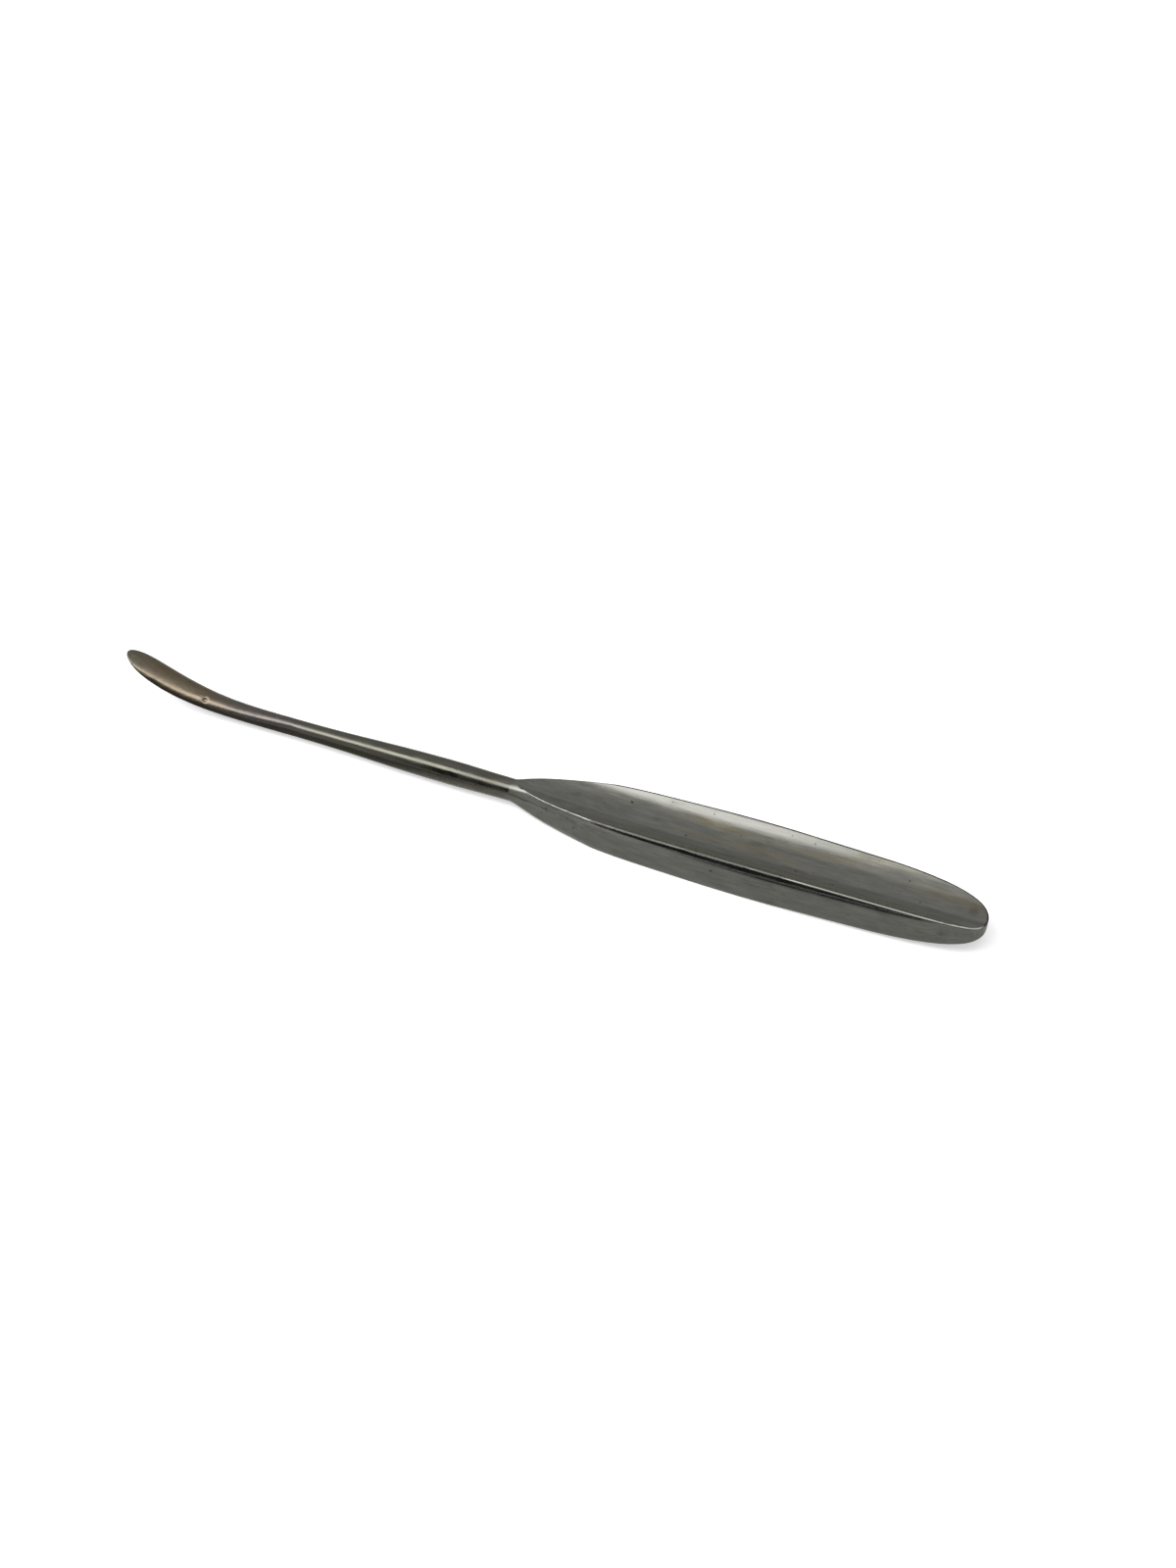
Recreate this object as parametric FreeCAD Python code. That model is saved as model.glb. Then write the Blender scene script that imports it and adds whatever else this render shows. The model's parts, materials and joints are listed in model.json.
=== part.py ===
"""Periosteal elevator forged in one piece from a single bar of steel.

A leaf-shaped handle, dished on both faces, runs through a flared neck into a
round tapering shank, which flattens and curves up into a narrow blade.
All sizes are in millimetres. The length runs along X, from the blade tip at
the low end to the butt at the high end, and +Z is up. While the piece is
shaped, x is measured from the neck and z from the centre line of the handle.
At the end it is laid down on the lower rims of its handle, and the origin is
the middle of its outer size on the surface it lies on.
"""
import FreeCAD, Part
import math
import os

from FreeCAD import Vector

# Overall
overall_length = 190.0
handle_length = 96.6

# Handle in plan
handle_width = 15.7
neck_fullness = 0.565
shoulder_fullness = 0.83
butt_fullness = 0.62

# Handle in section
web_thickness = 2.3
dish_radius = 9.5
wall_bow = 1.5
wall_bow_height = 4.6
wall_bow_power = 3.0
rim_bevel = 0.3

# Rise of each dish towards the neck
dish_start = 4.0
dish_runout = 37.0

# Flare of the neck into the handle
neck_radius = 2.4
neck_slope = 0.25
flare_near = 4.0
flare_near_radius = 3.58
flare_far = 12.0
flare_far_radius = 5.55
flare_end = 26.0
flare_end_radius = 8.2

# Shank
crease_radius = 1.5
swell_radius = 2.57
swell_from_neck = 15.0
waist_radius = 1.88
waist_from_tip = 43.0

# Blade sections, by distance from the tip
blade_widest_from_tip = 9.6
blade_width = 6.1
blade_widest_thickness = 3.36
blade_thickest_from_tip = 16.0
blade_thickest_width = 5.6
blade_thickness = 3.5
blade_root_from_tip = 23.2
blade_root_width = 4.75
blade_stem_from_tip = 31.8
blade_stem_width = 4.2
blade_heel_from_tip = 38.0
blade_heel_width = 3.84

# Rounded tip of the blade
tip_round_length = 5.7
tip_thickness = 1.1
tip_shoulder_width = 5.92
tip_shoulder_thickness = 2.73

# Upward curve of the blade
blade_tip_angle = 34.1
blade_bend_length = 38.0
blade_bend_power = 3.1

# Nick in the near upper edge of the blade
nick_from_tip = 20.6
nick_turn = 50.0
nick_radius = 0.9
nick_depth = 0.24

bar_length = overall_length - handle_length
blade_tip_slope = math.tan(math.radians(blade_tip_angle))
blade_tip_rise = blade_tip_slope * blade_bend_length / blade_bend_power
neck_direction = Vector(1, 0, neck_slope)
length_axis = Vector(1, 0, 0)


def smooth_curve(points, start_direction, end_direction):
    """One smooth curve through the points with the given end directions."""
    curve = Part.BSplineCurve()
    curve.interpolate(Points=points, InitialTangent=start_direction, FinalTangent=end_direction)
    return curve.toShape()


def wall_inset(height):
    """How far the bowed wall is drawn in at a height above or below its middle."""
    return wall_bow * (abs(height) / wall_bow_height) ** wall_bow_power


def rim_height():
    """Height at which the wall meets the dish, where the handle is widest."""
    closeness = 0.001
    dish_floor = web_thickness / 2.0
    low, high = dish_floor, dish_floor + dish_radius
    while high - low > closeness:
        middle = (low + high) / 2.0
        drop = dish_floor + dish_radius - middle
        in_dish = math.sqrt(dish_radius ** 2 - drop ** 2)
        if in_dish + wall_inset(middle) < handle_width / 2.0:
            low = middle
        else:
            high = middle
    return high


def leaf_outline(height):
    """Near half of the handle's plan outline at a height, drawn in by the wall's bow."""
    half_width = handle_width / 2.0
    inset = wall_inset(height)
    most_drawn_in = 0.9
    shares_along_and_out = [
        (0.0, neck_radius / half_width),
        (0.08, neck_fullness),
        (0.17, 0.80),
        (0.345, 0.96),
        (0.563, 1.0),
        (0.74, 0.93),
        (0.875, shoulder_fullness),
        (0.958, butt_fullness),
        (1.0, 0.0),
    ]
    side = []
    spacing = []
    travel = 0.0
    last = None
    for along, out in shares_along_and_out:
        widest = Vector(along * handle_length, -out * half_width, 0)
        travel += widest.distanceToPoint(last or widest)
        last = widest
        spacing.append(travel)
        drawn_in = min(inset, most_drawn_in * out * half_width)
        side.append(widest + Vector(-along * inset, drawn_in, height))
    start = (side[1] - side[0]).normalize()
    end = Vector(0, 1, 0)
    curve = Part.BSplineCurve()
    curve.interpolate(Points=side, Parameters=spacing, InitialTangent=start, FinalTangent=end)
    on_centre = Vector(0, 0, height)
    centre_line = Part.makeLine(side[-1], on_centre)
    neck_line = Part.makeLine(on_centre, side[0])
    return Part.Wire([curve.toShape(), centre_line, neck_line])


def half_block():
    """Near half of a leaf-shaped block whose wall bows outwards at mid height."""
    top = max(wall_bow_height, rim_height() + 2.0 * rim_bevel)
    between = 0.55 * top
    heights = [-top, -between, 0.0, between, top]
    return Part.makeLoft([leaf_outline(height) for height in heights], True, False)


def dish_cutter():
    """Round cutter for the upper dish: level to the butt, rising at the neck."""
    floor = web_thickness / 2.0
    rise = neck_radius - floor
    floor_arc_radius = (dish_runout ** 2 + rise ** 2) / (2.0 * rise)
    axis_arc_radius = floor_arc_radius - dish_radius
    bend_x = dish_start + dish_runout
    overrun = 0.5 * dish_runout
    turn = math.asin((dish_runout + overrun) / floor_arc_radius)

    def on_axis(angle):
        x = bend_x - axis_arc_radius * math.sin(angle)
        z = floor + floor_arc_radius - axis_arc_radius * math.cos(angle)
        return Vector(x, 0, z)

    past_butt = Vector(handle_length + dish_radius, 0, floor + dish_radius)
    level_run = Part.makeLine(past_butt, on_axis(0.0))
    rising_run = Part.Arc(on_axis(0.0), on_axis(turn / 2.0), on_axis(turn)).toShape()
    disc = Part.Face(Part.Wire([Part.makeCircle(dish_radius, past_butt, length_axis)]))
    return Part.Wire([level_run, rising_run]).makePipe(disc)


def edge_middle(edge):
    """Point halfway along an edge."""
    return edge.valueAt((edge.FirstParameter + edge.LastParameter) / 2.0)


def half_handle():
    """Near half of the handle, dished, bevelled at its rims and flared at the neck."""
    upper_dish = dish_cutter()
    lower_dish = upper_dish.mirror(Vector(0, 0, 0), Vector(0, 0, 1))
    half = half_block().cut([upper_dish, lower_dish])
    rims = []
    for edge in half.Edges:
        middle = edge_middle(edge)
        if abs(middle.z) > web_thickness and middle.y < -neck_radius:
            rims.append(edge)
    return half.makeChamfer(rim_bevel, rims).common(neck_flare())


def turned_body(side_edges, side_start, side_end):
    """Solid turned about the length axis under the edges of a side line."""
    corners = [side_end, Vector(side_end.x, 0, 0), Vector(side_start.x, 0, 0), side_start]
    profile = Part.Wire(side_edges + Part.makePolygon(corners).Edges)
    return Part.Face(profile).revolve(Vector(0, 0, 0), length_axis, 360)


def neck_flare():
    """Trumpet-shaped body that the handle narrows into at the neck."""
    points = [
        Vector(0, 0, neck_radius),
        Vector(flare_near, 0, flare_near_radius),
        Vector(flare_far, 0, flare_far_radius),
        Vector(flare_end, 0, flare_end_radius),
    ]
    widening = points[-1] - points[-2]
    side = smooth_curve(points, neck_direction, widening)
    clear = points[-1] + widening * ((handle_width - flare_end_radius) / widening.z)
    flare = turned_body([side, Part.makeLine(points[-1], clear)], points[0], clear)
    beyond = Part.makeCylinder(handle_width, handle_length, Vector(clear.x, 0, 0), length_axis)
    return flare.fuse(beyond)


def ogee(start, end):
    """Two tangent arcs between two points of a side line, level at both points."""
    run = end.x - start.x
    rise = end.z - start.z
    radius = (run ** 2 + rise ** 2) / (4.0 * rise)
    half_turn = math.atan2(rise, run)
    middle = (start + end) * 0.5
    on_first = start + Vector(math.sin(half_turn), 0, 1.0 - math.cos(half_turn)) * radius
    on_second = start + end - on_first
    return [Part.Arc(start, on_first, middle).toShape(), Part.Arc(middle, on_second, end).toShape()]


def shank():
    """Turned shank from its waist over the swell to the crease at the neck."""
    waist = Vector(waist_from_tip - bar_length, 0, waist_radius)
    swell = Vector(-swell_from_neck, 0, swell_radius)
    neck = Vector(0, 0, neck_radius)
    crease_turn = math.atan(neck_slope)

    def in_crease(turn):
        ahead = crease_radius * (math.sin(turn) - math.sin(crease_turn))
        above = crease_radius * (math.cos(crease_turn) - math.cos(turn))
        return neck + Vector(ahead, 0, above)

    throat = in_crease(0.0)
    crease = Part.Arc(throat, in_crease(crease_turn / 2.0), neck).toShape()
    side_edges = ogee(waist, swell) + ogee(swell, throat) + [crease]
    return turned_body(side_edges, waist, neck)


def bend_rise(from_tip):
    """Height and slope of the blade's centre line above the shank's axis."""
    bend = max(0.0, 1.0 - from_tip / blade_bend_length)
    rise = blade_tip_rise * bend ** blade_bend_power
    slope = blade_tip_slope * bend ** (blade_bend_power - 1.0)
    return rise, slope


def bar_section(from_tip, width, thickness):
    """Oval section of the blade, square to its centre line."""
    rise, slope = bend_rise(from_tip)
    oval = Part.Ellipse(Vector(0, 0, 0), width / 2.0, thickness / 2.0).toShape()
    oval.rotate(Vector(0, 0, 0), Vector(1, 1, 1), 120)
    oval.rotate(Vector(0, 0, 0), Vector(0, 1, 0), math.degrees(math.atan(slope)))
    oval.translate(Vector(from_tip - bar_length, 0, rise))
    return Part.Wire([oval])


def blade():
    """Forged blade from its rounded tip to the waist of the shank."""
    sections = [Part.Vertex(Vector(-bar_length, 0, blade_tip_rise))]
    for degrees in (15, 30, 45, 60, 75):
        reach = 1.0 - math.cos(math.radians(degrees))
        roundness = math.sin(math.radians(degrees))
        width = roundness * tip_shoulder_width
        fullness = tip_thickness + (tip_shoulder_thickness - tip_thickness) * reach
        sections.append(bar_section(tip_round_length * reach, width, roundness * fullness))
    sections.append(bar_section(blade_widest_from_tip, blade_width, blade_widest_thickness))
    sections.append(bar_section(blade_thickest_from_tip, blade_thickest_width, blade_thickness))
    sections.append(bar_section(blade_root_from_tip, blade_root_width, blade_thickness))
    sections.append(bar_section(blade_stem_from_tip, blade_stem_width, blade_thickness))
    sections.append(bar_section(blade_heel_from_tip, blade_heel_width, 2.0 * waist_radius))
    sections.append(bar_section(waist_from_tip, 2.0 * waist_radius, 2.0 * waist_radius))
    return Part.makeLoft(sections, True, False)


def nicked(body):
    """The body with the small nick in the upper edge of its blade."""
    rise, slope = bend_rise(nick_from_tip)
    turn = math.radians(nick_turn)
    reach = Vector(0, -math.cos(turn), math.sin(turn)) * blade_width
    outside = Vector(nick_from_tip - bar_length, 0, rise) + reach
    surface_point = body.distToShape(Part.Vertex(outside))[1][0][0]
    outwards = (outside - surface_point).normalize()
    ball_centre = surface_point + outwards * (nick_radius - nick_depth)
    return body.cut(Part.makeSphere(nick_radius, ball_centre))


def resting_tilt(body):
    """Angle in degrees at which the lowest rim point is under the centre of mass."""
    points_per_edge = 300
    steepest = 6.0
    closeness = 0.001
    rim_points = []
    for edge in body.Edges:
        if edge_middle(edge).z < -web_thickness:
            rim_points.extend(edge.discretize(points_per_edge))
    mass_centre = body.CenterOfMass
    low, high = 0.0, steepest
    while high - low > closeness:
        middle = (low + high) / 2.0
        tilt = math.radians(middle)
        lowest = min(rim_points, key=lambda p: p.z * math.cos(tilt) + p.x * math.sin(tilt))
        ahead = (lowest.x - mass_centre.x) * math.cos(tilt) - (lowest.z - mass_centre.z) * math.sin(tilt)
        if ahead > 0.0:
            low = middle
        else:
            high = middle
    return low


near_half = half_handle()
far_half = near_half.mirror(Vector(0, 0, 0), Vector(0, 1, 0))
forging = near_half.fuse([far_half, shank(), blade()])
elevator = nicked(forging).Solids[0]
elevator.rotate(Vector(0, 0, 0), Vector(0, 1, 0), -resting_tilt(elevator))
bounds = elevator.optimalBoundingBox(False, False)
elevator.translate(Vector(-(bounds.XMin + bounds.XMax) / 2.0, 0, -bounds.ZMin))

os.makedirs("parts", exist_ok=True)
elevator.exportStep("parts/elevator.step")
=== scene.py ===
import json
import logging
import math
from dataclasses import dataclass, replace
from enum import Enum

import bpy
import numpy as np
from mathutils import Matrix, Quaternion, Vector

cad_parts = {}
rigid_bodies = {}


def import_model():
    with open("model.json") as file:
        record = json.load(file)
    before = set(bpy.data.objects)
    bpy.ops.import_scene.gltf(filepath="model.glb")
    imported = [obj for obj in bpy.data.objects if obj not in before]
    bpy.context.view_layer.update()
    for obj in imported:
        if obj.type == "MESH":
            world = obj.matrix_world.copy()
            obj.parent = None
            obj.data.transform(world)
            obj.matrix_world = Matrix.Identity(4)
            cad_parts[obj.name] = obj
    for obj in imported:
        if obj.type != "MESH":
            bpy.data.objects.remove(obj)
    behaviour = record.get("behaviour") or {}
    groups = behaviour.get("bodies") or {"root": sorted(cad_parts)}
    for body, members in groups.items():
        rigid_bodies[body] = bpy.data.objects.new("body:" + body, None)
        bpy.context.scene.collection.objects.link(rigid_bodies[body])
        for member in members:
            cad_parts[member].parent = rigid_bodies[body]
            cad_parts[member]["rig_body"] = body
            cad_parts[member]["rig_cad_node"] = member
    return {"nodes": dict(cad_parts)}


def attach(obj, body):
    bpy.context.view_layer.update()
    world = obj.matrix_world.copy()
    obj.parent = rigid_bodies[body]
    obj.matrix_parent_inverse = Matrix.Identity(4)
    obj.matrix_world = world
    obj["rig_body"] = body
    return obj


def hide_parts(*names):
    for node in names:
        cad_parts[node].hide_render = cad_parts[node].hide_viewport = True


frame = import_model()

MM = 0.001

# The shortest length that a vector is divided by.
SHORTEST = 1e-12

# Face and point attributes of the forging that its material reads.
SKIN = "skin"
RIM_FACE = "rim_face"
RIM_INWARD = "rim_inward"

# Settings of the Math nodes that put two values together.
TIMES = {"operation": "MULTIPLY"}
PLUS = {"operation": "ADD"}
LARGER = {"operation": "MAXIMUM"}

# A Mix node takes its two colours in these inputs, whose names its other inputs share.
MIX_UNDER = 6
MIX_OVER = 7

log = logging.getLogger("elevator_scene")

Colour = tuple[float, float, float, float]
Source = bpy.types.Node | bpy.types.NodeSocket


def srgb(code: str) -> Colour:
    """Turn an sRGB hex colour into Blender's linear colour.

    Args:
        code: six hex digits, with or without a leading hash sign.

    Returns:
        Linear red, green and blue, and an alpha of 1.
    """
    knee, slope, offset, power = 0.04045, 12.92, 0.055, 2.4
    digits = code.lstrip("#")
    channels = [int(digits[i:i + 2], 16) / 255.0 for i in (0, 2, 4)]
    linear = [c / slope if c <= knee else ((c + offset) / (1.0 + offset)) ** power for c in channels]
    return (linear[0], linear[1], linear[2], 1.0)


def add_node(tree: bpy.types.NodeTree, kind: str, settings: dict | None = None,
             links: dict | None = None) -> bpy.types.Node:
    """Add a shader node with its settings and its incoming links.

    Args:
        tree: the node tree that gets the node.
        kind: the node's type name.
        settings: attribute names, or input names or numbers, with their values.
        links: input names or numbers with what feeds them, which is a socket or
            a node. A node gives its first output that is switched on.

    Returns:
        The new node.
    """
    node = tree.nodes.new(kind)
    for key, value in (settings or {}).items():
        if isinstance(key, str) and hasattr(node, key):
            setattr(node, key, value)
        else:
            node.inputs[key].default_value = value
    for key, source in (links or {}).items():
        if isinstance(source, bpy.types.Node):
            source = next(output for output in source.outputs if output.enabled)
        tree.links.new(source, node.inputs[key])
    return node


@dataclass(frozen=True)
class Fade:
    """Smooth change from low to high as a value goes from start to end."""

    start: float
    end: float
    low: float = 0.0
    high: float = 1.0

    def settings(self) -> dict:
        """Settings of the Map Range node that makes the change."""
        return {"interpolation_type": "SMOOTHSTEP", "From Min": self.start, "From Max": self.end,
                "To Min": self.low, "To Max": self.high}


def overlap(tree: bpy.types.NodeTree, *fades: tuple[Fade, Source]) -> Source:
    """Add a fade, or the product of several, which is high only where all of them are.

    Args:
        tree: the node tree.
        *fades: each fade with the value that it follows.

    Returns:
        The node with the product.
    """
    total = None
    for fade, value in fades:
        step = add_node(tree, "ShaderNodeMapRange", fade.settings(), {"Value": value})
        total = step if total is None else add_node(tree, "ShaderNodeMath", TIMES, {0: total, 1: step})
    return total


def coated(tree: bpy.types.NodeTree, under: Source | str, coats: list[tuple[Source, str]]) -> Source:
    """Lay colours over a first one, each over all that came before.

    Args:
        tree: the node tree.
        under: the first colour, as a hex value or as what gives it.
        coats: how far each colour covers, from 0 to 1, and its hex value.

    Returns:
        The node with the finished colour.
    """
    for cover, code in coats:
        settings = {"data_type": "RGBA", MIX_OVER: srgb(code)}
        links = {0: cover}
        if isinstance(under, str):
            settings[MIX_UNDER] = srgb(under)
        else:
            links[MIX_UNDER] = under
        under = add_node(tree, "ShaderNodeMix", settings, links)
    return under


def seen_or_reflected(tree: bpy.types.NodeTree) -> Source:
    """Add a factor that is 1 for camera, glossy and transmission rays.

    Args:
        tree: the node tree of a material or of the world.

    Returns:
        The node with the factor.
    """
    path = add_node(tree, "ShaderNodeLightPath")
    seen = path.outputs["Is Camera Ray"]
    for ray in ("Is Glossy Ray", "Is Transmission Ray"):
        seen = add_node(tree, "ShaderNodeMath", LARGER, {0: seen, 1: path.outputs[ray]})
    return seen


def new_material(name: str) -> tuple[bpy.types.Material, bpy.types.NodeTree]:
    """Make an empty node material.

    Args:
        name: the name of the real material and surface.

    Returns:
        The material and its cleared node tree.
    """
    material = bpy.data.materials.new(name)
    material.use_nodes = True
    material.node_tree.nodes.clear()
    return material, material.node_tree


@dataclass(frozen=True)
class Grain:
    """Size of the grains in a pattern, in metres, and how many finer layers it has."""

    along: float
    across: float
    layers: float


@dataclass(frozen=True)
class StrewnPits:
    """Round pits of one size, strewn evenly over the metal.

    The distance from one place to the next is in metres, and the reach of a
    pit is a share of it. The depth is how dark a pit is, up to 1.
    """

    apart: float
    reach: float
    depth: float
    solid_share: float = 1.0 / 3.0

    def edge(self) -> Fade:
        """Fade from the dark middle of a pit to its edge."""
        return Fade(self.solid_share * self.reach, self.reach, self.depth, 0.0)


@dataclass(frozen=True)
class Mark:
    """A pit or smudge of corrosion. Its depth is how dark it is, up to 1."""

    place_mm: tuple[float, float, float]
    reach_mm: float
    depth: float = 1.0
    solid_share: float = 0.5
    faint_share: float = 1.4

    def place(self) -> tuple[float, ...]:
        """Place of the mark in metres."""
        return tuple(value * MM for value in self.place_mm)

    def edge(self) -> Fade:
        """Fade from the dark middle of the mark to its edge."""
        reach = self.reach_mm * MM
        return Fade(self.solid_share * reach, self.faint_share * reach, self.depth, 0.0)


@dataclass(frozen=True)
class WornSteel:
    """Forged stainless steel, ground lengthwise, polished and worn by use.

    The handle is a neutral grey with short lengthwise polishing lines, soft
    bands, yellowish water marks and a few dark corrosion pits. The shank is a
    little darker and more olive, and the blade is tanned brown by heat.
    """

    # To the eye it is a calm grey metal with soft wide reflections and faint lines
    # lengthwise. Its near upper rim has a painted highlight, and its other edges a dark painted shade.
    name: str = "forged stainless steel, worn satin polish"
    handle_colour: str = "#5f5f5b"
    shank_colour: str = "#4d4c45"
    stem_colour: str = "#4c4846"
    blade_colour: str = "#554c3d"
    tip_colour: str = "#58574d"
    # Painted sheen: a lighter colour on the blade's near side.
    painted_sheen_colour: str = "#6c6355"
    # Painted shade: the colour of the blade's faces that turn down.
    painted_underside_shade_colour: str = "#37332a"
    stain_colour: str = "#67604d"
    tarnish_colour: str = "#464541"
    pit_colour: str = "#15130f"
    # Painted highlight: the colour of the near upper rim.
    painted_rim_highlight_colour: str = "#bdbdb5"
    # Painted shade: the dark line on all edges but the near upper rim.
    painted_edge_shade_colour: str = "#222220"
    # Painted light: the lighter colour the steel has where it is seen in its own reflections.
    painted_reflection_colour: str = "#b9b9b3"
    edge_tint: str = "#ebebe7"
    metallic: float = 0.95

    # Real polishing lines are about 0.05 mm apart. They are drawn 0.3 mm apart, so that they show.
    streaks: Grain = Grain(5.0 * MM, 0.30 * MM, 3.0)
    clouds: Grain = Grain(6.0 * MM, 1.6 * MM, 3.0)
    blotches: Grain = Grain(9.0 * MM, 3.0 * MM, 3.0)
    bands: Grain = Grain(32.0 * MM, 2.8 * MM, 1.0)
    matt_patches: Grain = Grain(9.0 * MM, 5.0 * MM, 2.0)
    layer_strength: float = 0.6

    # Where each colour begins: along the instrument, across it, by how far the metal faces up,
    # or in a random pattern. The borders between blade, stem and shank wander by up to this much.
    wander: float = 14.0 * MM
    # Painted sheen: the blade turns lighter towards its near side, where its highlight falls.
    sheen_side: Fade = Fade(0.6 * MM, -2.4 * MM)
    tip: Fade = Fade(-80.0 * MM, -90.0 * MM)
    # Painted shade: where the blade faces down it is darker.
    underside: Fade = Fade(0.62, 0.25)
    stem: Fade = Fade(-72.0 * MM, -56.0 * MM)
    shank: Fade = Fade(-52.0 * MM, -36.0 * MM)
    handle: Fade = Fade(-6.0 * MM, 2.0 * MM)
    stained_bands: Fade = Fade(0.40, 0.72)
    stained_side: Fade = Fade(-1.0 * MM, 2.0 * MM, 0.0, 0.7)
    stained_rear: Fade = Fade(14.0 * MM, 42.0 * MM, 0.1, 1.0)
    tarnished: Fade = Fade(0.42, 0.24, 0.0, 0.6)
    streak_tone: Fade = Fade(0.32, 0.68, 0.90, 1.09)
    cloud_tone: Fade = Fade(0.32, 0.68, 0.91, 1.09)

    # Edges, found by how far their rounded normals turn, and the bevelled rims of the dishes. They carry the
    # painted highlight and the painted shade.
    rounding_radius: float = 0.17 * MM
    round_samples: int = 6
    sharp: Fade = Fade(0.93, 0.995, 1.0, 0.0)
    inner_half: Fade = Fade(0.28, 0.50)
    off_blade: Fade = Fade(-70.0 * MM, -58.0 * MM)
    near_side: Fade = Fade(-0.5 * MM, -3.0 * MM)
    upper_side: Fade = Fade(2.0 * MM, 4.0 * MM)
    elsewhere: Fade = Fade(1.0, 0.0)

    # Roughness of the polish, and what matt patches, the matt blade and pits add to it.
    satin: Fade = Fade(0.30, 0.70, 0.10, 0.21)
    satin_lines: Fade = Fade(0.25, 0.75, -0.03, 0.03)
    matt_shank: Fade = Fade(-3.0 * MM, 3.0 * MM, 0.08, 0.0)
    matt_patch: Fade = Fade(0.42, 0.60)
    matt_blade: Fade = Fade(-78.0 * MM, -52.0 * MM, 0.18, 0.0)
    matt_pits: float = 0.4

    # Heights of the relief.
    wave_height: float = 0.006 * MM
    line_height: float = 0.0025 * MM
    pit_height: float = 0.03 * MM
    pit_strength: float = 0.8

    # The finest real pits are under 0.1 mm across. They are drawn 0.4 mm across, so that they show.
    coarse_pits: StrewnPits = StrewnPits(2.1 * MM, 0.13, 0.65)
    fine_pits: StrewnPits = StrewnPits(1.2 * MM, 0.17, 0.42)
    pitted_places: Fade = Fade(0.55, 0.75)
    fray_size: float = 0.5 * MM
    fray_layers: float = 2.0
    fray_share: float = 0.9
    marks: tuple[Mark, ...] = (
        Mark((22.7, 3.9, 5.9), reach_mm=0.55),
        Mark((35.7, -0.1, 5.0), reach_mm=0.40, depth=0.8),
        Mark((58.5, -1.4, 5.3), reach_mm=0.50, depth=0.7),
        Mark((91.9, 1.5, 5.7), reach_mm=1.5, depth=0.28),
        Mark((43.7, -7.8, 5.1), reach_mm=0.45, depth=0.7),
        Mark((14.4, -6.2, 4.1), reach_mm=0.40, depth=0.6),
        Mark((16.2, -6.5, 4.9), reach_mm=0.35, depth=0.5),
        Mark((87.7, -5.8, 4.9), reach_mm=1.3, depth=0.25),
    )

    def grained(self, tree: bpy.types.NodeTree, place: Source, grain: Grain) -> Source:
        """Add a random pattern whose grains have a real length and width.

        Args:
            tree: the material's node tree.
            place: Object coordinates.
            grain: the size of the grains.

        Returns:
            The node with the pattern, which is about 0.5 on average.
        """
        away = (grain.along / MM, grain.across / MM, (grain.along + grain.across) / MM)
        sized = add_node(tree, "ShaderNodeMapping", {
            "Scale": (1.0 / grain.along, 1.0 / grain.across, 1.0 / grain.across), "Location": away},
            {"Vector": place})
        return add_node(tree, "ShaderNodeTexNoise", {
            "Scale": 1.0, "Detail": grain.layers, "Roughness": self.layer_strength}, {"Vector": sized})

    def strewn(self, tree: bpy.types.NodeTree, place: Source, pits: StrewnPits) -> Source:
        """Add pits of one size, in about one in three of their places.

        Args:
            tree: the material's node tree.
            place: Object coordinates.
            pits: their distance, size and depth.

        Returns:
            The node that is 0 on clean metal and the depth in a pit.
        """
        cells = add_node(tree, "ShaderNodeTexVoronoi", {"Scale": 1.0 / pits.apart}, {"Vector": place})
        return overlap(tree, (pits.edge(), cells.outputs["Distance"]),
                       (self.pitted_places, cells.outputs["Color"]))

    def pits(self, tree: bpy.types.NodeTree, place: Source) -> Source:
        """Add the marks that the photograph shows, and finer pits strewn all over.

        Args:
            tree: the material's node tree.
            place: Object coordinates.

        Returns:
            The node that is 0 on clean metal and 1 in a pit.
        """
        deepest = add_node(tree, "ShaderNodeMath", LARGER, {
            0: self.strewn(tree, place, self.coarse_pits), 1: self.strewn(tree, place, self.fine_pits)})
        ragged = add_node(tree, "ShaderNodeTexNoise", {
            "Scale": 1.0 / self.fray_size, "Detail": self.fray_layers}, {"Vector": place})
        for mark in self.marks:
            away = add_node(tree, "ShaderNodeVectorMath", {
                "operation": "DISTANCE", 1: mark.place()}, {0: place})
            frayed = add_node(tree, "ShaderNodeMath", {
                "operation": "MULTIPLY_ADD", 1: self.fray_share * mark.reach_mm * MM}, {0: ragged, 2: away})
            spot = overlap(tree, (mark.edge(), frayed))
            deepest = add_node(tree, "ShaderNodeMath", LARGER, {0: deepest, 1: spot})
        return deepest

    def painted_light_edges(self, tree: bpy.types.NodeTree, place: Source, rounded: Source) -> Source:
        """Add the share of the edges of the handle and the shank that get a painted highlight or painted
        shade.

        Args:
            tree: the material's node tree.
            place: Object coordinates.
            rounded: normals that are rounded off near the edges.

        Returns:
            The node that is 0 on faces and 1 on edges.
        """
        geometry = add_node(tree, "ShaderNodeNewGeometry")
        turned = add_node(tree, "ShaderNodeVectorMath", {"operation": "DOT_PRODUCT"}, {
            0: rounded, 1: geometry.outputs["Normal"]})
        rim = add_node(tree, "ShaderNodeAttribute", {"attribute_name": RIM_FACE}).outputs["Fac"]
        inward = add_node(tree, "ShaderNodeAttribute", {"attribute_name": RIM_INWARD}).outputs["Fac"]
        along = add_node(tree, "ShaderNodeSeparateXYZ", links={0: place}).outputs["X"]
        edge = add_node(tree, "ShaderNodeMath", LARGER, {0: overlap(tree, (self.sharp, turned)), 1: rim})
        inner = overlap(tree, (self.inner_half, inward), (self.off_blade, along))
        return add_node(tree, "ShaderNodeMath", TIMES, {0: edge, 1: inner})

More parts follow.
